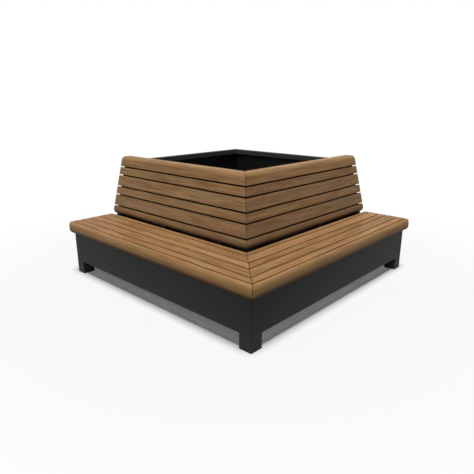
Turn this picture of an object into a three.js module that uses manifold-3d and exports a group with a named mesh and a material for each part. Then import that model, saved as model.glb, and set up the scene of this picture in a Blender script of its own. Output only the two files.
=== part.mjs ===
// A timber bench along two sides of a square steel planter, mitred at the front corner.
//
// The plan is measured from the front corner of the base. X runs back to the right from it, Y
// back to the left, and Z up from the ground. The left arm of the bench lies along the face
// X = 0, the right arm along the face Y = 0, and each is the mirror image of the other.
// Every long piece is a section in two sizes: its reach, measured in square to the face that it
// lies along, and its height. The section runs along the face, to a mitre or a square cut.

import * as THREE from 'three';
import { mergeVertices } from 'three/addons/utils/BufferGeometryUtils.js';
import Module from 'manifold-3d';

const wasm = await Module();
wasm.setup();

// Base: square tube posts, with sheet steel panels between them
const baseSide = 2000;
const postWidth = 96;
const postWall = 5;
const postRound = 6;
const footHeight = 103;
const insertHeight = 12;
const sheet = 3;
const panelReturn = 40;
const foldRound = 4;

// Seat: boards of two widths and a rear strip, behind a bullnosed front board
const seatTop = 450;
const boardThickness = 40;
const wideBoard = 92;
const narrowBoard = 65;
const rearStrip = 38;
const seatGap = 7.5;
const arris = 4;
const noseReach = 44;
const noseLand = 26;
const noseHeight = 100;
const noseRound = 40;
const rebateClearance = 5;
const seatWidths = [narrowBoard, wideBoard, narrowBoard, wideBoard, rearStrip];

// Back: leaning boards under a moulded cap, from the lowest board up
const backClearance = 10.5;
const backLean = THREE.MathUtils.degToRad(15.4);
const backLift = 8;
const backGap = 8.5;
const backRound = 35;
const backWidths = [narrowBoard, wideBoard, narrowBoard, wideBoard, narrowBoard];
const capFront = 84;
const capRound = 40;
const capClearance = 3;

// Planter: four folded walls, and a drained floor on its own bearers
const rimWidth = 50;
const rimLip = 45;
const floorReturn = 40;
const floorBearers = 3;
const drainWidth = 30;
const drainsInBay = 3;

// Carriers: square tube bearers, and folded plates between the back boards and the planter
const bearerWidth = 40;
const bearerWall = 3;
const supportPlate = 6;
const supportFlange = 40;
const supportTop = 61;
const supportInset = 70;
const supportBays = 2;

// Fits
const boardSeam = 2;
const steelSeam = 0.3;
const overrun = 10;

// Facets: the length of one on a round, and the fewest on an arris and round a drain hole
const facet = 5;
const arrisSteps = 3;
const drainSteps = 24;

// Seat and back. A point of the back is measured up its leaning front, and in behind it.

const stacked = (widths, gap) => widths.reduce((sum, width) => sum + width + gap, 0);
const boardFoot = seatTop - boardThickness;
const landRear = noseLand - noseReach;
const backFoot = landRear + stacked(seatWidths, seatGap) + backClearance;
const capFoot = backLift + stacked(backWidths, backGap);
const capTop = seatTop + (capFoot + capFront) * Math.cos(backLean);

function leaning(up, behind, radius = 0) {
  const reach = backFoot + up * Math.sin(backLean) + behind * Math.cos(backLean);
  const height = seatTop + up * Math.cos(backLean) - behind * Math.sin(backLean);
  return [reach, height, radius];
}

// The reach of the leaning front, or of a plane behind it, at a height.
function reachAt(height, behind) {
  return backFoot + (height - seatTop) * Math.tan(backLean) + behind / Math.cos(backLean);
}

// The planter stands behind the back supports, and its rim is under the cap.
const behindBoards = boardThickness + steelSeam;
const rimTop = capTop - boardThickness;
const planterInset = reachAt(rimTop, behindBoards) + supportTop;

// The middles of the supports along an arm, and of the bearer at its end
const firstSupport = planterInset + supportInset;
const endBearer = baseSide - sheet - bearerWidth / 2;
const bearerFoot = boardFoot - bearerWidth;

// Finishes: oiled hardwood in four tints, and dark grey powder coat
const timberTints = [0xa87f57, 0x9c744d, 0xb0875e, 0xa37a52];
const steelColour = 0x2e2f31;
const plasticColour = 0x17181a;

function timber(index) {
  const tint = timberTints[index % timberTints.length];
  return new THREE.MeshStandardMaterial({ color: tint, roughness: 0.6, metalness: 0 });
}

function steel() {
  return new THREE.MeshStandardMaterial({ color: steelColour, roughness: 0.55, metalness: 0.2 });
}

function plastic() {
  return new THREE.MeshStandardMaterial({ color: plasticColour, roughness: 0.7, metalness: 0 });
}

// Solids

// Six times the volume inside a mesh: below zero where its faces point inwards.
function sixVolumes(geometry) {
  const place = geometry.getAttribute('position');
  const [a, b, c] = [new THREE.Vector3(), new THREE.Vector3(), new THREE.Vector3()];
  let sum = 0;
  for (let i = 0; i < place.count; i += 3) {
    a.fromBufferAttribute(place, i);
    b.fromBufferAttribute(place, i + 1);
    c.fromBufferAttribute(place, i + 2);
    sum += a.dot(b.cross(c));
  }
  return sum;
}

// Moves every point of an unindexed geometry, and turns its faces outwards again if they flip.
function moved(geometry, move) {
  const place = geometry.getAttribute('position');
  for (let i = 0; i < place.count; i += 1) {
    place.setXYZ(i, ...move(place.getX(i), place.getY(i), place.getZ(i)));
  }
  if (sixVolumes(geometry) < 0) {
    for (let i = 0; i < place.count; i += 3) {
      const second = new THREE.Vector3().fromBufferAttribute(place, i + 1);
      place.setXYZ(i + 1, place.getX(i + 2), place.getY(i + 2), place.getZ(i + 2));
      place.setXYZ(i + 2, second.x, second.y, second.z);
    }
  }
  geometry.computeVertexNormals();
  return geometry;
}

function manifold(geometry) {
  const bare = geometry.clone();
  bare.deleteAttribute('normal');
  bare.deleteAttribute('uv');
  const merged = mergeVertices(bare);
  return new wasm.Manifold(new wasm.Mesh({
    numProp: 3,
    vertProperties: new Float32Array(merged.getAttribute('position').array),
    triVerts: new Uint32Array(merged.getIndex().array),
  }));
}

function geometryOf(solid) {
  const mesh = solid.getMesh();
  const geometry = new THREE.BufferGeometry();
  geometry.setAttribute('position', new THREE.BufferAttribute(mesh.vertProperties, 3));
  geometry.setIndex(new THREE.BufferAttribute(mesh.triVerts, 1));
  geometry.computeVertexNormals();
  return geometry;
}

function joined(first, ...others) {
  return geometryOf(others.reduce((solid, other) => solid.add(manifold(other)), manifold(first)));
}

function cut(body, tool) {
  return geometryOf(manifold(body).subtract(manifold(tool)));
}

// Sections

// An outline from corners [reach, height, radius]. A corner with no radius stays sharp, and two
// rounds that don't fit on the edge between them are reduced alike.
function outline(corners) {
  const bends = corners.map(([reach, height, radius = 0], i) => {
    const corner = new THREE.Vector2(reach, height);
    const back = new THREE.Vector2(...corners.at(i - 1)).sub(corner);
    const on = new THREE.Vector2(...corners[(i + 1) % corners.length]).sub(corner);
    const half = Math.abs(back.angleTo(on)) / 2;
    return { corner, back, on, half, radius, tangent: radius / Math.tan(half) };
  });
  return bends.flatMap(({ corner, back, on, half, radius, tangent }, i) => {
    if (radius === 0) {
      return [corner];
    }
    const backFit = back.length() / (tangent + bends.at(i - 1).tangent);
    const onFit = on.length() / (tangent + bends[(i + 1) % bends.length].tangent);
    const fit = Math.min(backFit, onFit, 1);
    const inward = back.clone().normalize().add(on.clone().normalize()).normalize();
    const centre = corner.clone().addScaledVector(inward, (fit * radius) / Math.sin(half));
    const start = corner.clone().addScaledVector(back.normalize(), fit * tangent);
    const turn = Math.sign(back.cross(on)) * (2 * half - Math.PI);
    const steps = Math.max(arrisSteps, Math.round(Math.abs(turn * radius) / facet));
    const points = [];
    for (let step = 0; step <= steps; step += 1) {
      points.push(start.clone().rotateAround(centre, (turn * step) / steps));
    }
    return points;
  });
}

// The corners of a rectangle, all with one radius.
function rectangle(reach, height, width, depth, radius = 0) {
  return [
    [reach, height, radius],
    [reach + width, height, radius],
    [reach + width, height + depth, radius],
    [reach, height + depth, radius],
  ];
}

// The corners of a square inside another, a wall away from it all round.
function inner(reach, height, width, wall, radius) {
  const bore = width - 2 * wall;
  return rectangle(reach + wall, height + wall, bore, bore, Math.max(radius - wall, 0));
}

// A square tube's outline, with its bore as a hole.
function tube(reach, height, width, wall, radius) {
  const shape = new THREE.Shape(outline(rectangle(reach, height, width, width, radius)));
  shape.holes.push(new THREE.Path(outline(inner(reach, height, width, wall, radius))));
  return shape;
}

// The four faces that a piece can lie along: its reach is measured in from that face.
const faces = {
  left: (reach, along, height) => [reach, along, height],
  right: (reach, along, height) => [along, reach, height],
  farLeft: (reach, along, height) => [along, baseSide - reach, height],
  farRight: (reach, along, height) => [baseSide - reach, along, height],
};

// Runs a section along a face. Each end is a number, or a function of the reach for a mitre.
function run(section, face, start, end) {
  const shape = section instanceof THREE.Shape ? section : new THREE.Shape(outline(section));
  const solid = new THREE.ExtrudeGeometry(shape, { depth: 1, steps: 1, bevelEnabled: false });
  const at = (stop, reach) => (typeof stop === 'function' ? stop(reach) : stop);
  return moved(solid, (reach, height, share) => {
    const along = at(share > 0 ? end : start, reach);
    return faces[face](reach, along, height);
  });
}

const part = new THREE.Group();
part.position.set((noseReach - baseSide) / 2, (noseReach - baseSide) / 2, 0);

function add(name, geometry, material) {
  const mesh = new THREE.Mesh(geometry, material);
  mesh.name = name;
  part.add(mesh);
}

const arms = ['left', 'right'];

// A board starts at the mitre on the diagonal from the front corner, and ends square.
function board(section, arm) {
  const mitre = (reach) => reach + boardSeam / Math.SQRT2;
  return run(section, arm, mitre, baseSide);
}

// Corner posts, whose lower ends are the feet, and the inserts that close them. The far one is
// a foot under the planter.

const farPlace = baseSide - postWidth;
const posts = [
  ['post_near', 0, 0, boardFoot],
  ['post_left', 0, farPlace, boardFoot],
  ['post_right', farPlace, 0, boardFoot],
  ['foot_far', farPlace, farPlace, footHeight],
];

function upright(shape, foot, top) {
  const solid = new THREE.ExtrudeGeometry(shape, { depth: 1, steps: 1, bevelEnabled: false });
  return moved(solid, (x, y, share) => [x, y, share > 0 ? top : foot]);
}

for (const [name, x, y, top] of posts) {
  const shape = tube(0, 0, postWidth, postWall, postRound);
  add(name, upright(shape, 0, top).translate(x, y, 0), steel());
}

for (const [name, x, y] of posts) {
  const insert = outline(inner(0, 0, postWidth, postWall + steelSeam, postRound));
  const plug = upright(new THREE.Shape(insert), 0, insertHeight);
  add(`insert_${name}`, plug.translate(x, y, 0), plastic());
}

// Fascias under the seat and end panels, each with its lower edge folded in

const panel = [
  [0, footHeight, foldRound],
  [panelReturn, footHeight],
  [panelReturn, footHeight + sheet],
  [sheet, footHeight + sheet],
  [sheet, boardFoot],
  [0, boardFoot],
];

add('fascia_left', run(panel, 'left', postWidth, farPlace), steel());
add('fascia_right', run(panel, 'right', postWidth, farPlace), steel());
add('end_panel_left', run(panel, 'farLeft', postWidth, planterInset), steel());
add('end_panel_right', run(panel, 'farRight', postWidth, planterInset), steel());

// Bearers from the fascias to the planter, under the seat boards. The one at the end of an arm
// starts at its post.

const crossing = { left: 'right', right: 'left' };

function bearer(arm, centre, start) {
  const section = tube(centre - bearerWidth / 2, bearerFoot, bearerWidth, bearerWall, foldRound);
  return run(section, crossing[arm], start, planterInset);
}

const supports = [];
for (let bay = 0; bay < supportBays; bay += 1) {
  supports.push(firstSupport + ((endBearer - firstSupport) * bay) / supportBays);
}

for (const arm of arms) {
  supports.forEach((centre, i) => {
    add(`bearer_${arm}_${i + 1}`, bearer(arm, centre, sheet), steel());
  });
  add(`end_bearer_${arm}`, bearer(arm, endBearer, postWidth), steel());
}

// The corner bearer lies on the diagonal. A point there is measured along it from the front
// corner, and across it.
function onDiagonal(along, across, height) {
  return [(along - across) / Math.SQRT2, (along + across) / Math.SQRT2, height];
}

const roundedOff = postRound * (Math.SQRT2 - 1);
const cornerStart = Math.SQRT2 * postWidth - roundedOff + steelSeam;
const cornerEnd = Math.SQRT2 * planterInset - steelSeam;
const cornerTube = tube(-bearerWidth / 2, bearerFoot, bearerWidth, bearerWall, foldRound);
const cornerRun = new THREE.ExtrudeGeometry(cornerTube, { depth: 1, steps: 1, bevelEnabled: false });
add('corner_bearer', moved(cornerRun, (across, height, share) => {
  const along = share > 0 ? cornerEnd : cornerStart;
  return onDiagonal(along, across, height);
}), steel());

// Seat boards

function noseBoard(arm) {
  const foot = seatTop - noseHeight;
  const bullnose = [
    [-noseReach, foot, noseRound],
    [0, foot],
    [0, seatTop],
    [-noseReach, seatTop, noseRound],
  ];
  const rebateFoot = boardFoot - rebateClearance;
  const rebateHeight = boardThickness + rebateClearance + overrun;
  const rebate = rectangle(landRear, rebateFoot, overrun - landRear, rebateHeight);
  return cut(board(bullnose, arm), run(rebate, arm, -noseReach - overrun, baseSide + overrun));
}

for (const arm of arms) {
  add(`seat_nose_${arm}`, noseBoard(arm), timber(arms.indexOf(arm)));
  let reach = landRear + seatGap;
  seatWidths.forEach((width, i) => {
    const section = rectangle(reach, boardFoot, width, boardThickness, arris);
    add(`seat_board_${arm}_${i + 1}`, board(section, arm), timber(i + arms.indexOf(arm) + 1));
    reach += width + seatGap;
  });
}

// Back boards and caps. The lowest board has a large round on its lower front edge.

function backBoard(up, width, lowest) {
  return [
    leaning(up, 0, lowest ? backRound : arris),
    leaning(up, boardThickness, arris),
    leaning(up + width, boardThickness, arris),
    leaning(up + width, 0, arris),
  ];
}

const capRear = planterInset - capClearance;
const cap = [
  leaning(capFoot, 0, arris),
  leaning(capFoot, boardThickness, arris),
  [reachAt(rimTop, boardThickness), rimTop],
  [capRear, rimTop, arris],
  [capRear, capTop, arris],
  [reachAt(capTop, 0), capTop, capRound],
];

for (const arm of arms) {
  let up = backLift;
  backWidths.forEach((width, i) => {
    const section = backBoard(up, width, i === 0);
    add(`back_board_${arm}_${i + 1}`, board(section, arm), timber(i + 2 * arms.indexOf(arm)));
    up += width + backGap;
  });
  add(`back_cap_${arm}`, board(cap, arm), timber(arms.indexOf(arm) + 2));
}

// Back supports: a web with a front flange behind the boards and a foot on the bearer

const behindFlange = behindBoards + supportPlate;

function backSupport(arm, webStart, flangeStart) {
  const web = [
    [reachAt(boardFoot, behindBoards), boardFoot],
    [planterInset, boardFoot],
    [planterInset, rimTop],
    [reachAt(rimTop, behindBoards), rimTop],
  ];
  const flange = [
    [reachAt(boardFoot, behindBoards), boardFoot],
    [reachAt(boardFoot, behindFlange), boardFoot],
    [reachAt(rimTop, behindFlange), rimTop],
    [reachAt(rimTop, behindBoards), rimTop],
  ];
  const footReach = reachAt(boardFoot, behindBoards);
  const foot = rectangle(footReach, boardFoot, planterInset - footReach, supportPlate);
  return joined(
    run(web, arm, webStart, webStart + supportPlate),
    run(flange, arm, flangeStart, flangeStart + supportFlange),
    run(foot, arm, flangeStart, flangeStart + supportFlange),
  );
}

for (const arm of arms) {
  supports.forEach((centre, i) => {
    const solid = backSupport(arm, centre - supportPlate / 2, centre - supportFlange / 2);
    add(`back_support_${arm}_${i + 1}`, solid, steel());
  });
  const end = backSupport(arm, baseSide - supportPlate, baseSide - supportFlange);
  add(`end_support_${arm}`, end, steel());
}

// The corner back support is a plate on the diagonal, just clear of the boards on both arms.

const cornerFront = (height) => Math.SQRT2 * reachAt(height, behindBoards) + supportPlate / 2;
const cornerPlate = new THREE.Shape(outline([
  [cornerFront(boardFoot), boardFoot],
  [cornerEnd, boardFoot],
  [cornerEnd, rimTop],
  [cornerFront(rimTop), rimTop],
]));
const cornerBlank = new THREE.ExtrudeGeometry(cornerPlate, { depth: 1, steps: 1, bevelEnabled: false });
add('corner_back_support', moved(cornerBlank, (along, height, share) => {
  const across = share > 0 ? supportPlate / 2 : -supportPlate / 2;
  return onDiagonal(along, across, height);
}), steel());

// Planter walls: a fold at the foot carries the floor, and two folds make the rim

function planterWall(face, inset) {
  const section = [
    [inset, footHeight, foldRound],
    [inset + floorReturn, footHeight],
    [inset + floorReturn, footHeight + sheet],
    [inset + sheet, footHeight + sheet],
    [inset + sheet, rimTop - sheet],
    [inset + rimWidth - sheet, rimTop - sheet],
    [inset + rimWidth - sheet, rimTop - rimLip],
    [inset + rimWidth, rimTop - rimLip],
    [inset + rimWidth, rimTop, foldRound],
    [inset, rimTop, foldRound],
  ];
  const start = (reach) => planterInset + (reach - inset) + steelSeam;
  const end = (reach) => baseSide - (reach - inset) - steelSeam;
  return run(section, face, start, end);
}

add('planter_wall_left', planterWall('left', planterInset), steel());
add('planter_wall_right', planterWall('right', planterInset), steel());
add('planter_wall_far_left', planterWall('farLeft', 0), steel());
add('planter_wall_far_right', planterWall('farRight', 0), steel());

// Planter floor: a sheet with drain holes, on bearers that stand on the walls' folds

const floorStart = planterInset + sheet;
const floorSide = baseSide - sheet - floorStart;
const floorEnd = floorStart + floorSide;
const floorBearerFoot = footHeight + sheet;

for (let i = 0; i < floorBearers; i += 1) {
  const centre = floorStart + (floorSide * (i + 0.5)) / floorBearers;
  const start = centre - bearerWidth / 2;
  const section = tube(start, floorBearerFoot, bearerWidth, bearerWall, foldRound);
  add(`floor_bearer_${i + 1}`, run(section, 'left', floorStart, floorEnd), steel());
}

function drain(x, y) {
  const points = [];
  for (let step = 0; step < drainSteps; step += 1) {
    const radius = new THREE.Vector2(drainWidth / 2, 0);
    const angle = (2 * Math.PI * step) / drainSteps;
    points.push(radius.rotateAround(new THREE.Vector2(), angle).add(new THREE.Vector2(x, y)));
  }
  return new THREE.Path(points);
}

const floorShape = new THREE.Shape(outline(rectangle(floorStart, floorStart, floorSide, floorSide)));
for (let bay = 1; bay < floorBearers; bay += 1) {
  for (let i = 0; i < drainsInBay; i += 1) {
    const x = floorStart + (floorSide * bay) / floorBearers;
    const y = floorStart + (floorSide * (i + 0.5)) / drainsInBay;
    floorShape.holes.push(drain(x, y));
  }
}

const floorFoot = floorBearerFoot + bearerWidth;
add('planter_floor', upright(floorShape, floorFoot, floorFoot + sheet), steel());

export default part;
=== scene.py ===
# %% [markdown]
# # A timber corner bench round a steel planter
# The bench is made of long hardwood boards on a base of dark, powder-coated sheet steel. The
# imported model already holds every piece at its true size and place. This lesson gives each
# piece the finish of the real one. The boards, the folded steel and the posts are modelled
# again with soft, rounded edges, because a facet shows where light runs along an edge. The
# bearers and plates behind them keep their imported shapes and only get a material.

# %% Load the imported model
import bmesh
import bpy
import math
import random
from mathutils import Matrix, Vector


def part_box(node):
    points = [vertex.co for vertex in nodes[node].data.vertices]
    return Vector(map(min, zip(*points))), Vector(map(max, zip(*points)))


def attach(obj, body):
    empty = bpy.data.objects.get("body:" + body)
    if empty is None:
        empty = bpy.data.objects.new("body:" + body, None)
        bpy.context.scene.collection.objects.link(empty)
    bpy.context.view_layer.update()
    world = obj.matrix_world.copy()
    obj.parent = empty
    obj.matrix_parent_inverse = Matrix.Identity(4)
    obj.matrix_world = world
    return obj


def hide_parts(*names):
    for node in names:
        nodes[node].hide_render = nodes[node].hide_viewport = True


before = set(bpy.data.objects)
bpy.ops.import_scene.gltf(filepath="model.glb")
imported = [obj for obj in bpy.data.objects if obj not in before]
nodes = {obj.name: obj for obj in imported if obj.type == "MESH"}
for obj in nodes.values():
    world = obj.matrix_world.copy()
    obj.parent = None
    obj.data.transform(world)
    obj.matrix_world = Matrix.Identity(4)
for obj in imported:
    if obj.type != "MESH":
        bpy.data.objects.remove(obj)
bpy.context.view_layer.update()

# %% [markdown]
# ## The camera
# The bench is seen over its near corner, from 1.4 metres above the ground. The place, the
# heading and the lens come from fitting the boards' edges in the photograph. The fit gives the
# lens in pixels of the picture, and Blender wants it in millimetres of its sensor. An unturned
# camera looks straight down. A turn of 90 degrees about X makes it look level along Y, so the
# angle that it looks down comes off that turn, and 90 degrees come off the heading, which the
# fit counts from X.

# %% Place the camera
PHOTO_WIDTH = 474
FOCAL_PIXELS = 452.73
SENSOR = 36.0
EYE = (-2.7429, -2.5119, 1.4155)
LOOKS_DOWN = 16.668
HEADING = 43.022

camera_data = bpy.data.cameras.new("camera")
camera_data.sensor_width = SENSOR
camera_data.lens = SENSOR * FOCAL_PIXELS / PHOTO_WIDTH
camera = bpy.data.objects.new("camera", camera_data)
camera.location = EYE
camera.rotation_euler = (math.radians(90 - LOOKS_DOWN), 0, math.radians(HEADING - 90))
bpy.context.scene.collection.objects.link(camera)
bpy.context.scene.camera = camera
bpy.context.scene.view_settings.view_transform = "Standard"
print("lens:", round(camera_data.lens, 2), "mm")

# %% [markdown]
# ## Shader maths as plain Python
# A material is a graph of nodes, and a long graph is hard to read when every node is made and
# linked by hand. A wire is one output of a node. Adding or multiplying wires adds the Math
# nodes that do it, so a pattern reads like a formula. Every other node comes from one method.


# %% A wire between shader nodes
class Wire:
    """One output of a node in a material, which takes part in sums."""

    def __init__(self, tree, socket=None):
        self.tree = tree
        self.socket = socket

    def node(self, kind, settings, inputs, output=0):
        """Adds a node: its settings first, then the value or the wire on each socket."""
        made = self.tree.nodes.new(kind)
        stops = settings.pop("stops", None)
        for name, value in settings.items():
            setattr(made, name, value)
        if stops:
            ramp = made.color_ramp.elements
            while len(ramp) < len(stops):
                ramp.new(1.0)
            for element, (place, colour) in zip(ramp, stops):
                element.position = place
                element.color = (*colour, 1.0)
        for name, value in inputs.items():
            if isinstance(value, Wire):
                self.tree.links.new(value.socket, made.inputs[name])
            else:
                made.inputs[name].default_value = value
        return Wire(self.tree, made.outputs[output])

    def maths(self, operation, *values):
        """A Math node's result, from wires and numbers."""
        return self.node("ShaderNodeMath", {"operation": operation}, dict(enumerate(values)))

    def __add__(self, other):
        return self.maths("ADD", self, other)

    def __sub__(self, other):
        return self.maths("SUBTRACT", self, other)

    def __rsub__(self, other):
        return self.maths("SUBTRACT", other, self)

    def __mul__(self, other):
        return self.maths("MULTIPLY", self, other)

    def __truediv__(self, other):
        return self.maths("DIVIDE", self, other)

    def __pow__(self, other):
        return self.maths("POWER", self, other)

    __radd__ = __add__
    __rmul__ = __mul__

    def between(self, low, high):
        """0 at low and below, 1 at high and above, and smooth between them."""
        return self.node(
            "ShaderNodeMapRange",
            {"interpolation_type": "SMOOTHSTEP"},
            {"Value": self, "From Min": low, "From Max": high},
        )

    def attribute(self, name, output="Fac"):
        """A value that the mesh carries under a name, or 0 where it carries none."""
        return self.node("ShaderNodeAttribute", {"attribute_name": name}, {}, output)

    def part(self, axis):
        """The X, Y or Z of a vector."""
        return self.node("ShaderNodeSeparateXYZ", {}, {"Vector": self}, axis)

    def noise(self, place, scale=1.0, detail=2.0, roughness=0.5):
        """Smooth random values around a half."""
        return self.node(
            "ShaderNodeTexNoise",
            {"noise_dimensions": "3D"},
            {"Vector": place, "Scale": scale, "Detail": detail, "Roughness": roughness},
        )

    def blend(self, share, first, second):
        """Mixes two colours: all of the first at 0, all of the second at 1."""
        settings = {"data_type": "RGBA"}
        return self.node("ShaderNodeMix", settings, {0: share, 6: first, 7: second}, 2)


def new_material(name):
    """An empty material with its surface shader, and a wire to start sums from."""
    material = bpy.data.materials.new(name)
    material.use_nodes = True
    shader = material.node_tree.nodes["Principled BSDF"]
    return material, shader, Wire(material.node_tree)


def connect(shader, **wires):
    """Links wires to the shader's sockets, named with _ for a space."""
    for name, wire in wires.items():
        wire.tree.links.new(wire.socket, shader.inputs[name.replace("_", " ")])


# %% [markdown]
# ## Oiled hardwood
# Wood is a solid pattern, not a skin. A board is a slice of a trunk, so each board carries its
# own trunk coordinates: how far along the grain a point is, and where it lies across and
# through the board from the heart of the tree. Growth rings are then distances from the heart,
# which draws long flames on a wide face and arcs on the end of the board without any extra
# work. No trunk is quite straight or round, so the distances sway and ripple along the grain.
# A ring darkens towards its late wood, and the next one starts pale again.


# %% Bands along the grain and growth rings
RING_WIDTH = 0.0052
SWAY = 0.045
RIPPLE = 0.004


def bands(trunk, length, width, detail=2.0, roughness=0.5):
    """Bands along the grain, 0 in the middle, with a typical length and width in metres."""
    size = (length, width, width)
    place = trunk.node("ShaderNodeVectorMath", {"operation": "DIVIDE"}, {0: trunk, 1: size})
    return trunk.noise(place, 1.0, detail, roughness) - 0.5


def late_wood(trunk):
    """How far a point is into the dark late wood of its growth ring, from 0 to 1."""
    across = trunk.part("Y")
    through = trunk.part("Z")
    sway = bands(trunk, 1 / 1.3, 1 / 7) * SWAY
    ripple = bands(trunk, 1 / 5, 1 / 45) * RIPPLE
    radius = (across * across + through * through) ** 0.5 + sway + ripple
    ring = trunk.maths("FRACT", radius / RING_WIDTH)
    return ring ** 3 * (1 - ring.between(0.93, 1.0))


# %% [markdown]
# Over the rings lie bands of every size, from a drift as wide as the board to single fibres.
# They are added up to one figure, and a ramp turns that into dark, warm or pale wood.


# %% The colour of clean wood
PALE_WOOD = (0.455, 0.255, 0.110)
WARM_WOOD = (0.362, 0.190, 0.074)
DARK_WOOD = (0.235, 0.116, 0.041)


def clean_wood(trunk, fibre, late):
    """The colour of a board that has just been planed."""
    drift = bands(trunk, 0.90, 0.110) * 0.60
    patch = bands(trunk, 0.40, 0.034) * 1.30
    streak = bands(trunk, 0.60, 0.021, 3.0, 0.6) * 2.40
    line = bands(trunk, 0.25, 0.010) * 1.60
    figure = 0.50 + drift + patch + streak + line + fibre * 0.80
    figure = figure + trunk.attribute("tone") * 0.28 - late * 0.34
    stops = [(0.18, DARK_WOOD), (0.48, WARM_WOOD), (0.82, PALE_WOOD)]
    return trunk.node("ShaderNodeValToRGB", {"stops": stops}, {"Fac": figure})


# %% [markdown]
# Then the wood gets what makes it look grown and used. A reddish or an olive blush drifts
# along it, and short dark pores open in it. The sawn ends drink more oil and turn darker.
# Weather greys it in mottles. Painted shade darkens its undersides, and more painted shade lies
# where a board's mesh says so.


# %% Make the timber
RED_WOOD = (0.385, 0.178, 0.080)
OLIVE_WOOD = (0.355, 0.214, 0.078)
PORE_AND_SHADE_WOOD = (0.070, 0.034, 0.014)
END_WOOD = (0.120, 0.058, 0.022)
GREY_WOOD = (0.285, 0.228, 0.150)
PAINTED_SHADE = (0.055, 0.020, 0.005)


def upward(wire):
    """1 on a face that looks straight up, 0 on an upright one, -1 on an underside."""
    return wire.node("ShaderNodeNewGeometry", {}, {}, "Normal").part("Z")


def make_timber():
    """The material of all boards. What differs between them comes with their meshes."""
    material, shader, wire = new_material("oiled_hardwood")
    trunk = wire.attribute("trunk", "Vector")
    sawn_end = wire.attribute("sawn_end")
    late = late_wood(trunk)
    fibre = bands(trunk, 0.07, 0.0016)
    pore = bands(trunk, 0.017, 0.0007, 1.0).between(0.12, 0.22)
    blush = bands(trunk, 0.50, 0.036)
    mottle = bands(trunk, 0.20, 0.045) * 3.6 + 1.0
    layers = (
        (blush.between(0.0, 0.18) * 0.90, RED_WOOD),
        (blush.between(0.0, -0.18) * 0.90, OLIVE_WOOD),
        (pore * 0.45, PORE_AND_SHADE_WOOD),
        (sawn_end * 0.80, END_WOOD),
        (wire.attribute("weather") * mottle, GREY_WOOD),
        # painted shade: undersides darken towards the pore colour
        (upward(wire).between(0.10, -0.75) * 0.86, PORE_AND_SHADE_WOOD),
        # painted shade from the mesh: in board gaps, on the nose's lower part, on the lowest back
        # board
        (wire.attribute("painted_shade").between(0.05, 0.75) * 0.85, PAINTED_SHADE),
    )
    colour = clean_wood(trunk, fibre, late)
    for share, layer in layers:
        colour = wire.blend(share, colour, (*layer, 1))

    relief = fibre * 0.6 + late * 0.5 - pore * 0.9
    bumps = {"Strength": 0.35, "Distance": 0.0006, "Height": relief}
    roughness = 0.58 + fibre * 0.14 + sawn_end * 0.15 - late * 0.05
    normal = wire.node("ShaderNodeBump", {}, bumps)
    connect(shader, Base_Color=colour, Roughness=roughness, Normal=normal)
    shader.inputs["Specular IOR Level"].default_value = 0.08
    return material


timber = make_timber()
print("timber nodes:", len(timber.node_tree.nodes))

# %% [markdown]
# ## Powder coat
# The steel is sprayed with dry powder and baked. The skin is matt and nearly black, with a very
# fine orange peel from the grains that melted together. The tone drifts a little over a panel.
# It is paler on level faces, where dust settles and painted sheen lies, and near the ground,
# where rain splashes dust and painted light stands in for what the floor bounces. The planter's
# lip is paler with painted light, and painted shade darkens the walls inside. The lip and the
# inside are marked on the walls' own meshes. The same recipe, with another grain and no dust or
# painted light, makes the moulded plastic of the foot inserts.


# %% Make the powder coat and the foot plastic
# pale colour of dust, also used for painted sheen and painted light
DUST_AND_LIGHT = (0.125, 0.122, 0.116)
INNER_SHADE = (0.004, 0.004, 0.004)
SPLASH_AND_BOUNCE_HEIGHT = 0.20


def make_coat(name, colour, rough, grain_size, relief, dust_and_light_share):
    """A matt skin. The size of its grain and the bumps' height are in metres."""
    material, shader, wire = new_material(name)
    place = wire.node("ShaderNodeTexCoord", {}, {}, "Object")
    grain = wire.noise(place, 1 / grain_size, 2.0, 0.55)
    speck = wire.noise(place, 0.45 / grain_size, 1.0)
    cloud = wire.noise(place, 2.3, 3.0, 0.6)
    share = (grain - 0.5) * 1.50 + (cloud - 0.5) * 0.60 + 0.5
    darker = tuple(0.82 * channel for channel in colour)
    lighter = tuple(1.20 * channel for channel in colour)
    shade = wire.blend(share, (*darker, 1), (*lighter, 1))

    # level faces: dust, and a painted sheen
    level_dust_and_sheen = upward(wire).between(0.80, 0.99)
    dust_sheen_and_lip_light = wire.maths("MAXIMUM", level_dust_and_sheen, wire.attribute("painted_lip_light"))
    # near the ground: splashed dust, and painted light for the floor's bounce
    splash_and_bounce = place.part("Z").between(SPLASH_AND_BOUNCE_HEIGHT, 0.0) * 0.45
    paler_share = (dust_sheen_and_lip_light + splash_and_bounce) * dust_and_light_share
    shade = wire.blend(paler_share * (cloud + 0.5), shade, (*DUST_AND_LIGHT, 1))
    # painted shade inside the planter
    shade = wire.blend(wire.attribute("painted_inner_shade") * 0.55, shade, (*INNER_SHADE, 1))

    bumps = {"Strength": 0.6, "Distance": relief, "Height": grain + speck * 0.6}
    roughness = rough + (cloud - 0.5) * 0.10 + (grain - 0.5) * 0.12
    normal = wire.node("ShaderNodeBump", {}, bumps)
    connect(shader, Base_Color=shade, Roughness=roughness, Normal=normal)
    shader.inputs["Specular IOR Level"].default_value = 0.09
    return material


coat = make_coat(
    "powder_coat",
    colour=(0.0325, 0.0327, 0.0330),
    rough=0.56,
    grain_size=0.0016,
    relief=0.0008,
    dust_and_light_share=0.26,
)
plastic = make_coat(
    "foot_plastic",
    colour=(0.010, 0.010, 0.0105),
    rough=0.55,
    grain_size=0.0008,
    relief=0.0002,
    dust_and_light_share=0.0,
)
print("coats:", coat.name, plastic.name)

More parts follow.
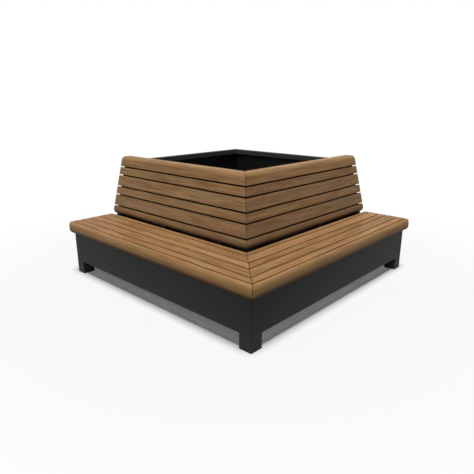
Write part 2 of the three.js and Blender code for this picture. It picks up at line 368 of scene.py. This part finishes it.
# %% [markdown]
# ## Long pieces from a section
# Every board and every folded sheet is a section drawn out along its length, which is how a
# moulder and a press brake make them. The section is drawn for the left arm, where X is the
# reach in from the front and Y runs along the arm. A matrix then carries the piece to the side
# that it belongs to. The two arms mirror each other, so X and Y change places for the right one.

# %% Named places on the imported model
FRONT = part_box("fascia_left")[0].x
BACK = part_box("planter_wall_far_right")[1].x
SWAP = Matrix(((0, 1, 0, 0), (1, 0, 0, 0), (0, 0, 1, 0), (0, 0, 0, 1)))
MIRROR_X = Matrix(((-1, 0, 0, FRONT + BACK), (0, 1, 0, 0), (0, 0, 1, 0), (0, 0, 0, 1)))
SIDES = {
    "left": Matrix.Identity(4),
    "right": SWAP,
    "far_left": SWAP @ MIRROR_X,
    "far_right": MIRROR_X,
}
print("base from", round(FRONT, 4), "to", round(BACK, 4))

# %% [markdown]
# A section is a list of corners, each with its reach, its height and the radius of its round.
# It is made as one face, whose corners are bevelled into rounds while it is still flat. It is
# then extruded and sawn off at its mitres. A board's ends are broken with a small bevel at last.


# %% Draw a section out along an arm
BOARD_FACET = 0.003
FOLD_FACET = 0.001
FEWEST_STEPS = 4


def rounded(bm, corners, start, facet):
    """The face of a section at Y = start, with a round on each corner that has a radius."""
    ring = [bm.verts.new((reach, start, height)) for reach, height, radius in corners]
    bm.faces.new(ring)
    places = [vertex.co.copy() for vertex in ring]
    for i, vertex in enumerate(ring):
        radius = corners[i][2]
        if radius == 0:
            continue
        back = places[i - 1] - places[i]
        on = places[(i + 1) % len(places)] - places[i]
        half = back.angle(on) / 2
        steps = round((math.pi - 2 * half) * radius / facet)
        bmesh.ops.bevel(
            bm,
            geom=[vertex],
            affect="VERTICES",
            offset=radius / math.tan(half),
            segments=max(FEWEST_STEPS, steps),
            profile=0.5,
            material=-1,
        )


def extruded(bm, length):
    """Draws a flat section out along Y."""
    grown = bmesh.ops.extrude_face_region(bm, geom=bm.faces[:])
    moved = [item for item in grown["geom"] if isinstance(item, bmesh.types.BMVert)]
    bmesh.ops.translate(bm, vec=(0, length, 0), verts=moved)


def cut_off(bm, place, outward):
    """Saws off all that lies beyond a plane, and closes the cut."""
    geometry = bm.verts[:] + bm.edges[:] + bm.faces[:]
    sawn = bmesh.ops.bisect_plane(
        bm, geom=geometry, plane_co=place, plane_no=outward, clear_outer=True
    )
    edges = [item for item in sawn["geom_cut"] if isinstance(item, bmesh.types.BMEdge)]
    bmesh.ops.edgenet_fill(bm, edges=edges)


def drawn_out(corners, start, end, mitres, facet):
    """A section's solid from Y = start to Y = end, less what its mitres cut off."""
    bm = bmesh.new()
    rounded(bm, corners, start, facet)
    extruded(bm, end - start)
    for place, outward in mitres:
        cut_off(bm, place, outward)
    bmesh.ops.recalc_face_normals(bm, faces=bm.faces[:])
    return bm


# %% Find the ends and break them
TURNED_TO_END = 0.2


def end_faces(bm):
    """The faces that close a drawn section: all whose normals have a part along Y."""
    return [face for face in bm.faces if abs(face.normal.y) > TURNED_TO_END]


def break_ends(bm, widths):
    """Bevels the edges all round the start and the end, each with a width of its own."""
    for direction, width in zip((-1, 1), widths):
        ends = [face for face in end_faces(bm) if face.normal.y * direction > 0]
        edges = {edge for face in ends for edge in face.edges}
        bmesh.ops.bevel(
            bm,
            geom=list(edges),
            affect="EDGES",
            offset=width,
            segments=2,
            profile=0.5,
            material=-1,
        )


# %% [markdown]
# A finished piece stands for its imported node. Its faces are shaded smooth across the rounds and
# sharp at real edges, and a Weighted Normal modifier keeps the large faces flat between them.

# %% Finish a piece
SHARP_ANGLE = math.radians(32)


def finish_piece(node, bm, side, material):
    """Makes an object of the mesh, at its side of the bench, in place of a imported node."""
    bmesh.ops.transform(bm, matrix=side, verts=bm.verts[:])
    bmesh.ops.recalc_face_normals(bm, faces=bm.faces[:])
    for face in bm.faces:
        face.smooth = True
    for edge in bm.edges:
        edge.smooth = len(edge.link_faces) == 2 and edge.calc_face_angle() < SHARP_ANGLE
    mesh = bpy.data.meshes.new(node + "_finished")
    bm.to_mesh(mesh)
    bm.free()
    mesh.materials.append(material)
    piece = bpy.data.objects.new(node + "_finished", mesh)
    bpy.context.scene.collection.objects.link(piece)
    flat = piece.modifiers.new("flat_faces", "WEIGHTED_NORMAL")
    flat.keep_sharp = True
    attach(piece, "root")
    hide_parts(node)


# %% [markdown]
# ## Boards
# The boards of one arm meet those of the other in a mitre along the diagonal. Each stops a
# little short of it, which leaves a seam.

# %% The mitre of all boards
first_low, first_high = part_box("seat_board_left_1")
short = first_low.y - first_low.x
mitre = (Vector((0, short, 0)), Vector((1, -1, 0)))
print("seam in the mitre:", round(short * math.sqrt(2) * 1000, 2), "mm")

# %% [markdown]
# A board is given its trunk coordinates before it is carried to its side, while its length
# still runs along Y. The heart of its tree is put 4 to 11 centimetres from the board's middle, at
# a place of its own, so no two boards show the same figure. Its tone is its own too, since boards
# in a pack differ a little in colour. The chances start from a fixed seed, so every run makes
# the same bench. The sides of the section that stand in a gap are marked for painted shade, which
# darkens the gaps between boards, and a board can have painted shade of its own by the place.

# %% Mark a board's wood and finish it
ARRIS = 0.004
MITRE_BREAK = 0.0012
END_BREAK = 0.0030
HEART_RANGES = ((0.5, 9), (-0.03, 0.03), (0.04, 0.11))
TONE_RANGE = 0.5
chance = random.Random(8)


def gap_share(place, corners, sides):
    """1 on a side of a section that stands in a gap, and 0 from an arris's width away from it."""
    shares = [0.0]
    for i in sides:
        first, second = (Vector(corners[k % len(corners)][:2]) for k in (i, i + 1))
        along = (second - first).normalized()
        away = abs(along.cross(Vector((place.x, place.z)) - first))
        shares.append(1 - away / ARRIS)
    return max(shares)


def make_board(node, corners, run, side, gaps, painted_shading=None, lean=0.0, weathering=0.0, shade=0.0):
    """A board from its section.

    Run is its start and its end. Gaps are the painted shade in them and the sides of the section
    that stand in one. A shading function gives more painted shade by the place, and lean is the
    angle of its width.
    """
    start, end = run
    gap_painted_shade, gap_sides = gaps
    bm = drawn_out(corners, start, end, [mitre], BOARD_FACET)
    break_ends(bm, (MITRE_BREAK, END_BREAK))
    trunk = bm.verts.layers.float_vector.new("trunk")
    tone = bm.verts.layers.float.new("tone")
    weather = bm.verts.layers.float.new("weather")
    painted_shade = bm.verts.layers.float.new("painted_shade")
    sawn_end = bm.faces.layers.float.new("sawn_end")
    reaches, heights = zip(*(corner[:2] for corner in corners))
    middle = Vector((sum(reaches), 0, sum(heights))) / len(corners)
    heart = Vector([chance.uniform(low, high) for low, high in HEART_RANGES])
    board_tone = chance.uniform(-TONE_RANGE, TONE_RANGE) + shade
    turn = Matrix.Rotation(lean, 3, "Y")
    for vertex in bm.verts:
        local = turn @ (vertex.co - middle)
        vertex[trunk] = (local.y + heart.x, local.x + heart.y, local.z + heart.z)
        vertex[tone] = board_tone
        vertex[weather] = weathering
        # painted shade in the gaps between boards
        vertex[painted_shade] = gap_painted_shade * gap_share(vertex.co, corners, gap_sides)
        if painted_shading:
            vertex[painted_shade] = max(vertex[painted_shade], painted_shading(vertex.co))
    for face in end_faces(bm):
        face[sawn_end] = 1.0
    finish_piece(node, bm, SIDES[side], timber)


# %% [markdown]
# ### The seat
# Five boards lie on each arm behind a thick nose board. The nose has a large round at its
# bottom and at its top, where the backs of the legs rest. It has a rebate behind, which the
# first board lies over. The top round has only the land before that rebate to run out in, so it
# comes out steeper than the bottom one. A fault is left in the nose: its end bevels fold over
# themselves where a round is smaller than they are, or leaves them no room. At the near corner
# such a fold stands 2 millimetres above the seat. Painted shade darkens the nose's lower part.
# Each board has a shade of its own, where more than 0 is paler.

# %% Places on the seat
SEAT_GAP = 0.0075
REBATE_CLEARANCE = 0.005

nose_low, nose_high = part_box("seat_nose_left")
seat_top = first_high.z
board_foot = first_low.z
arm_end = first_high.y
land = first_low.x - SEAT_GAP
rebate = board_foot - REBATE_CLEARANCE
print("seat at", round(seat_top, 4), "m")

# %% Seat boards and nose boards
NOSE_ROUND = 0.040
NOSE_FOOT_ROUND = 0.002
REBATE_ROUND = 0.001
SEAT_GAP_SHADE = 0.55
SEAT_WEATHER = 0.03
SEAT_SHADE = {"left": (-0.6, -0.1, 1.0, -0.4, 0.1), "right": (0.2, -0.4, -0.4, 0.6, 0.2)}
NOSE_SHADE = {"left": 1.2, "right": 2.0}
# painted shade on the nose starts this far below the seat's top and deepens over the next depth
NOSE_SHADE_FROM = 0.043
NOSE_SHADE_OVER = 0.053


def rectangle(low_reach, high_reach, low, high, radius):
    """The four corners of an upright section, all with one round."""
    return [
        (low_reach, low, radius),
        (high_reach, low, radius),
        (high_reach, high, radius),
        (low_reach, high, radius),
    ]


def nose_painted_shade(place):
    """How much painted shade a nose board gets: none near its top, and more the further down."""
    return min(max((seat_top - NOSE_SHADE_FROM - place.z) / NOSE_SHADE_OVER, 0.0), 1.0)


nose_section = [
    (nose_low.x, nose_low.z, NOSE_ROUND),
    (nose_high.x, nose_low.z, NOSE_FOOT_ROUND),
    (nose_high.x, rebate, REBATE_ROUND),
    (land, rebate, REBATE_ROUND),
    (land, seat_top, ARRIS),
    (nose_low.x, seat_top, NOSE_ROUND),
]
for side in ("left", "right"):
    for i, shade in enumerate(SEAT_SHADE[side], 1):
        low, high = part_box(f"seat_board_left_{i}")
        make_board(
            f"seat_board_{side}_{i}",
            rectangle(low.x, high.x, board_foot, seat_top, ARRIS),
            (low.x, arm_end),
            side,
            gaps=(SEAT_GAP_SHADE, (1, 3)),
            weathering=SEAT_WEATHER,
            shade=shade,
        )
    make_board(
        f"seat_nose_{side}",
        nose_section,
        (nose_low.x, arm_end),
        side,
        gaps=(SEAT_GAP_SHADE, (3,)),
        painted_shading=nose_painted_shade,
        weathering=SEAT_WEATHER,
        shade=NOSE_SHADE[side],
    )
print("seat: 12 boards")

# %% [markdown]
# ### The back
# The back leans. A point of it is measured up the leaning front and in behind it, so each board
# is a plain rectangle in those terms. The third board's middle fixes the line that all of them
# lie on.

# %% Places on the leaning back
LEAN = math.radians(15.4)
BACK_LIFT = 0.008
BACK_GAP = 0.0085

thickness = seat_top - board_foot
narrow = first_high.x - first_low.x
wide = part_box("seat_board_left_2")[1].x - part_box("seat_board_left_2")[0].x
back_widths = [narrow, wide, narrow, wide, narrow]
up_line = Vector((math.sin(LEAN), 0, math.cos(LEAN)))
behind_line = Vector((math.cos(LEAN), 0, -math.sin(LEAN)))
third_low, third_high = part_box("back_board_left_3")
third_middle = BACK_LIFT + narrow + BACK_GAP + wide + BACK_GAP + narrow / 2
back_foot = (third_low + third_high) / 2 - third_middle * up_line - thickness / 2 * behind_line


def leaning(up, behind, radius):
    """A corner of a section, measured up the leaning front and in behind it."""
    place = back_foot + up * up_line + behind * behind_line
    return (place.x, place.z, radius)


def leaning_at(height, behind, radius):
    """A corner on the leaning front, or on a plane behind it, at a height."""
    up = (height - back_foot.z + behind * math.sin(LEAN)) / math.cos(LEAN)
    return leaning(up, behind, radius)


def start_of(section):
    """Where a section's run starts: the mitre cuts off all that comes before its front."""
    return min(corner[0] for corner in section)


print("back: from", round(back_foot.z, 4), "m up, boards", round(thickness, 4), "m thick")

# %% [markdown]
# The lowest board has a large round where it turns in over the seat, and painted shade darkens
# its front, most in the middle. All five have a corner without a round, a little below the top
# of their front, and on the lowest it gives the painted shade a row of points to turn at. The
# back is greyer than the seat, and most so at its foot. A moulded cap lies over the top edge and
# reaches back to the planter's rim.

# %% Back boards and caps
BACK_ROUND = 0.035
CAP_ROUND = 0.040
CAP_HOLLOW = 0.003
BACK_GAP_SHADE = 1.0
BACK_WEATHER = (0.34, 0.30, 0.27, 0.27, 0.24)
CAP_WEATHER = 0.16
# the lower boards' shades are darker partly as painted shade, for light the back's foot lacks
BACK_SHADE = {"left": (-1.1, -0.8, -0.5, 0.4, -0.2), "right": (-1.2, -2.4, -0.4, -0.1, -0.2)}
# painted shade on the front of the lowest back board
LOWEST_SHADE = 0.38
LOWEST_SHADE_RISE = 0.022
LOWEST_SHADE_FALL = 0.036

cap_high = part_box("back_cap_left")[1]
rim_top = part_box("planter_wall_left")[1].z
lowest_shade_foot = leaning(BACK_LIFT, 0, 0)[1]
lowest_shade_top = leaning(BACK_LIFT + narrow, 0, 0)[1] - ARRIS


def lowest_board_shade(place):
    """How much painted shade the lowest board gets: none at its top and its foot, most between
    them.
    """
    rise = (lowest_shade_top - place.z) / LOWEST_SHADE_RISE
    fall = (place.z - lowest_shade_foot) / LOWEST_SHADE_FALL
    return LOWEST_SHADE * min(max(rise, 0.0), max(fall, 0.0), 1.0)


for side in ("left", "right"):
    up = BACK_LIFT
    for i, width in enumerate(back_widths, 1):
        lowest = i == 1
        section = [
            leaning(up, 0, BACK_ROUND if lowest else ARRIS),
            leaning(up, thickness, ARRIS),
            leaning(up + width, thickness, ARRIS),
            leaning(up + width, 0, ARRIS),
            leaning(up + width - LOWEST_SHADE_RISE - ARRIS, 0, 0),
        ]
        make_board(
            f"back_board_{side}_{i}",
            section,
            (start_of(section), arm_end),
            side,
            gaps=(BACK_GAP_SHADE, (2,) if lowest else (0, 2)),
            painted_shading=lowest_board_shade if lowest else None,
            lean=math.pi / 2 - LEAN,
            weathering=BACK_WEATHER[i - 1],
            shade=BACK_SHADE[side][i - 1],
        )
        up += width + BACK_GAP

    section = [
        leaning(up, 0, ARRIS),
        leaning(up, thickness, ARRIS),
        leaning_at(rim_top, thickness, CAP_HOLLOW),
        (cap_high.x, rim_top, ARRIS),
        (cap_high.x, cap_high.z, ARRIS),
        leaning_at(cap_high.z, 0, CAP_ROUND),
    ]
    make_board(
        f"back_cap_{side}",
        section,
        (start_of(section), arm_end),
        side,
        gaps=(BACK_GAP_SHADE, (0,)),
        weathering=CAP_WEATHER,
    )
print("back: 12 boards, top at", round(cap_high.z, 4), "m")

# %% [markdown]
# ## Folded steel
# A press brake can't fold a sheet to a sharp edge: the outside of each fold has a small round.
# The fascias and end panels are folded in at the foot, and stand in line with the posts.

# %% Fascias and end panels
SHEET = 0.003
FOLD_ROUND = 0.004
FOLD_HOLLOW = 0.0012

panel_low, panel_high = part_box("fascia_left")
panel_section = [
    (panel_low.x, panel_low.z, FOLD_ROUND),
    (panel_high.x, panel_low.z, 0),
    (panel_high.x, panel_low.z + SHEET, 0),
    (panel_low.x + SHEET, panel_low.z + SHEET, FOLD_HOLLOW),
    (panel_low.x + SHEET, panel_high.z, 0),
    (panel_low.x, panel_high.z, 0),
]
end_low, end_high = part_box("end_panel_right")
panels = {
    "fascia_left": ("left", panel_low.y, panel_high.y),
    "fascia_right": ("right", panel_low.y, panel_high.y),
    "end_panel_left": ("far_left", end_low.y, end_high.y),
    "end_panel_right": ("far_right", end_low.y, end_high.y),
}
for node, (side, start, end) in panels.items():
    bm = drawn_out(panel_section, start, end, [], FOLD_FACET)
    finish_piece(node, bm, SIDES[side], coat)
print("panels:", len(panels))

# %% [markdown]
# ### The planter
# Its walls are folded in at the foot to carry the floor, and folded twice at the top to make
# the rim. They are drawn a little too long and sawn off at a mitre at both ends. One wall turned
# about the planter's middle gives the other three. The lip inside the rim is marked for painted
# light, and the inner side of the wall for painted shade.

# %% Planter walls
RIM_LIP = 0.045
FLOOR_RETURN = 0.040
SAW_WASTE = 0.010
MARK_REACH = 2 * SHEET

wall_low, wall_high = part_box("planter_wall_left")
inset = wall_low.x
reach = wall_high.x
foot = wall_low.z
wall_section = [
    (inset, foot, FOLD_ROUND),
    (inset + FLOOR_RETURN, foot, 0),
    (inset + FLOOR_RETURN, foot + SHEET, 0),
    (inset + SHEET, foot + SHEET, FOLD_HOLLOW),
    (inset + SHEET, rim_top - SHEET, FOLD_HOLLOW),
    (reach - SHEET, rim_top - SHEET, FOLD_HOLLOW),
    (reach - SHEET, rim_top - RIM_LIP, 0),
    (reach, rim_top - RIM_LIP, 0),
    (reach, rim_top, FOLD_ROUND),
    (inset, rim_top, FOLD_ROUND),
]
middle = Vector(((inset + BACK) / 2, (inset + BACK) / 2, 0))
mitres = [(middle, Vector((1, -1, 0))), (middle, Vector((1, 1, 0)))]
for turns, side in enumerate(("left", "right", "far_right", "far_left")):
    bm = drawn_out(wall_section, inset - SAW_WASTE, BACK + SAW_WASTE, mitres, FOLD_FACET)
    painted_lip_light = bm.verts.layers.float.new("painted_lip_light")
    painted_inner_shade = bm.verts.layers.float.new("painted_inner_shade")
    for vertex in bm.verts:
        # the lip gets painted light, the inner side of the wall painted shade
        vertex[painted_lip_light] = vertex.co.x > reach - MARK_REACH
        vertex[painted_inner_shade] = inset < vertex.co.x < inset + MARK_REACH
    spin = Matrix.Rotation(turns * math.pi / 2, 4, "Z")
    place = Matrix.Translation(middle) @ spin @ Matrix.Translation(-middle)
    finish_piece(f"planter_wall_{side}", bm, place, coat)
print("planter: 4 walls, rim at", round(rim_top, 4), "m")

# %% [markdown]
# ## Posts
# The posts are square hollow section. The face of the section gets its rounds, is inset by the
# thickness of the wall, and loses its middle, so the ring that is left draws out into a tube.
# It is drawn out along Y, as the boards are, and then stood up. Where a panel is welded on
# flush, the weld fills the round and is ground flat, so those corners are nearly square. A fault
# is left there: the wall is thicker than such a round, so the inner side of the ring turns over
# itself inside the metal, where it doesn't show.

# %% Corner posts and the far foot
POST_ROUND = 0.006
FLUSH_ROUND = 0.0004
POST_WALL = 0.005
POSTS = ("post_near", "post_left", "post_right", "foot_far")


def on_outside(place):
    """True for a place along X or Y on the outside of the base."""
    return min(place - FRONT, BACK - place) < POST_ROUND


for node in POSTS:
    low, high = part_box(node)
    section = []
    for x, y in ((low.x, low.y), (low.x, high.y), (high.x, high.y), (high.x, low.y)):
        free = on_outside(x) and on_outside(y)
        section.append((x, y, POST_ROUND if free else FLUSH_ROUND))
    bm = bmesh.new()
    rounded(bm, section, 0, FOLD_FACET)
    bmesh.ops.inset_region(
        bm, faces=bm.faces[:], thickness=POST_WALL, use_even_offset=True, use_boundary=True
    )
    bore = max(bm.faces, key=lambda face: face.calc_area())
    bmesh.ops.delete(bm, geom=[bore], context="FACES")
    extruded(bm, high.z - low.z)
    stood_up = Matrix(((1, 0, 0, 0), (0, 0, 1, 0), (0, 1, 0, low.z), (0, 0, 0, 1)))
    finish_piece(node, bm, stood_up, coat)
print("posts:", len(POSTS))

# %% [markdown]
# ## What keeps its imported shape
# The bearers, the back and end supports, the planter's floor and the foot inserts have the right
# shapes already. They only change their material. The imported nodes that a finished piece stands
# for are hidden, and get it too.

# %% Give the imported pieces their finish
for name, node in nodes.items():
    node.data.materials.clear()
    node.data.materials.append(plastic if name.startswith("insert") else coat)
print("packed pieces with a finish:", len(nodes))

# %% [markdown]
# ## Floor, light and backdrop
# The floor is a pale plane. The camera sees it and the sky as near white, while little light
# bounces from them to the bench, so a colour renders about as it is written. Close to the bench
# the floor glows only faintly and shows the shadow. Further out it fades to plain white.


# %% Lay the floor
FLOOR_HALF = 40
FLOOR_ROUGHNESS = 0.9
BOUNCE = 0.20
GLOW = 0.112
SHADOW_REACH = 1.45
FLOOR_FADE = 3.2


def seen_by_eye(wire):
    """1 for a ray from the camera, or one that a mirror or a pane sends on, and 0 for the rest."""
    rays = ("Is Camera Ray", "Is Glossy Ray", "Is Transmission Ray")
    camera_ray, glossy, passed = (wire.node("ShaderNodeLightPath", {}, {}, ray) for ray in rays)
    return wire.maths("MINIMUM", camera_ray + glossy + passed, 1.0)


floor_material, floor_shader, wire = new_material("pale_floor")
seen = seen_by_eye(wire)
connect(floor_shader, Base_Color=wire.blend(seen, (BOUNCE, BOUNCE, BOUNCE, 1), (1, 1, 1, 1)))
floor_shader.inputs["Roughness"].default_value = FLOOR_ROUGHNESS
floor_shader.inputs["Specular IOR Level"].default_value = 0.0
white = wire.node("ShaderNodeEmission", {}, {"Color": (1, 1, 1, 1), "Strength": 1.0})
lit = Wire(wire.tree, floor_shader.outputs[0])
place = wire.node("ShaderNodeTexCoord", {}, {}, "Object")
away = wire.node("ShaderNodeVectorMath", {"operation": "LENGTH"}, {0: place}, "Value")
glow = away.between(SHADOW_REACH, FLOOR_FADE) * (1 - GLOW) + GLOW
mixed = wire.node("ShaderNodeMixShader", {}, {0: seen * glow, 1: lit, 2: white})
output = wire.tree.nodes["Material Output"]
wire.tree.links.new(mixed.socket, output.inputs["Surface"])

floor_mesh = bmesh.new()
bmesh.ops.create_grid(floor_mesh, x_segments=1, y_segments=1, size=FLOOR_HALF)
floor_data = bpy.data.meshes.new("floor")
floor_mesh.to_mesh(floor_data)
floor_mesh.free()
floor_data.materials.append(floor_material)
floor = bpy.data.objects.new("floor", floor_data)
bpy.context.scene.collection.objects.link(floor)
print("floor:", 2 * FLOOR_HALF, "m wide, white from", FLOOR_FADE, "m")

# %% [markdown]
# The lamps are of the sun kind, whose light is the same at every place. One high above gives the
# tops of the boards their light. A broad one, lower down on the left arm's side, lights that
# arm's front and leaves the right one darker. A soft one behind fills in the far sides, and is
# kept out of glossy reflections. The floor has a lamp of its own, nearly overhead, so the depth
# of the shadow can be set without a change to the bench. Light linking tells each lamp what it
# lights. The sky fills in a little from all sides.


# %% Light the bench
def receivers(name, state):
    """A set that a lamp lights: the floor alone, or all but the floor."""
    lit_set = bpy.data.collections.new(name)
    lit_set.objects.link(floor)
    lit_set.collection_objects[0].light_linking.link_state = state
    return lit_set


def hang_lamp(name, energy, spread, tilt_x, tilt_y, lit_set):
    """A far lamp. In degrees, a tilt_x above 0 brings its light from -Y, and a tilt_y from +X."""
    data = bpy.data.lights.new(name, "SUN")
    data.energy = energy
    data.angle = math.radians(spread)
    lamp = bpy.data.objects.new(name, data)
    lamp.rotation_euler = (math.radians(tilt_x), math.radians(tilt_y), 0)
    lamp.light_linking.receiver_collection = lit_set
    bpy.context.scene.collection.objects.link(lamp)
    return lamp


bench = receivers("bench_only", "EXCLUDE")
ground = receivers("floor_only", "INCLUDE")
hang_lamp("high_lamp", energy=1.99, spread=24, tilt_x=9, tilt_y=-8, lit_set=bench)
hang_lamp("side_lamp", energy=0.98, spread=50, tilt_x=12, tilt_y=-49, lit_set=bench)
back_lamp = hang_lamp("back_lamp", energy=0.80, spread=60, tilt_x=-40, tilt_y=44, lit_set=bench)
back_lamp.visible_glossy = False
hang_lamp("floor_lamp", energy=2.84, spread=20, tilt_x=8.5, tilt_y=-7.5, lit_set=ground)
print("lamps:", len(bpy.data.lights))

# %% Hang the sky
SKY_STRENGTH = 0.05

world = bpy.data.worlds.new("sky")
world.use_nodes = True
bpy.context.scene.world = world
wire = Wire(world.node_tree)
sky = world.node_tree.nodes["Background"]
sky.inputs["Color"].default_value = (1, 1, 1, 1)
strength = seen_by_eye(wire) * (1 - SKY_STRENGTH) + SKY_STRENGTH
wire.tree.links.new(strength.socket, sky.inputs["Strength"])
print("sky:", SKY_STRENGTH)
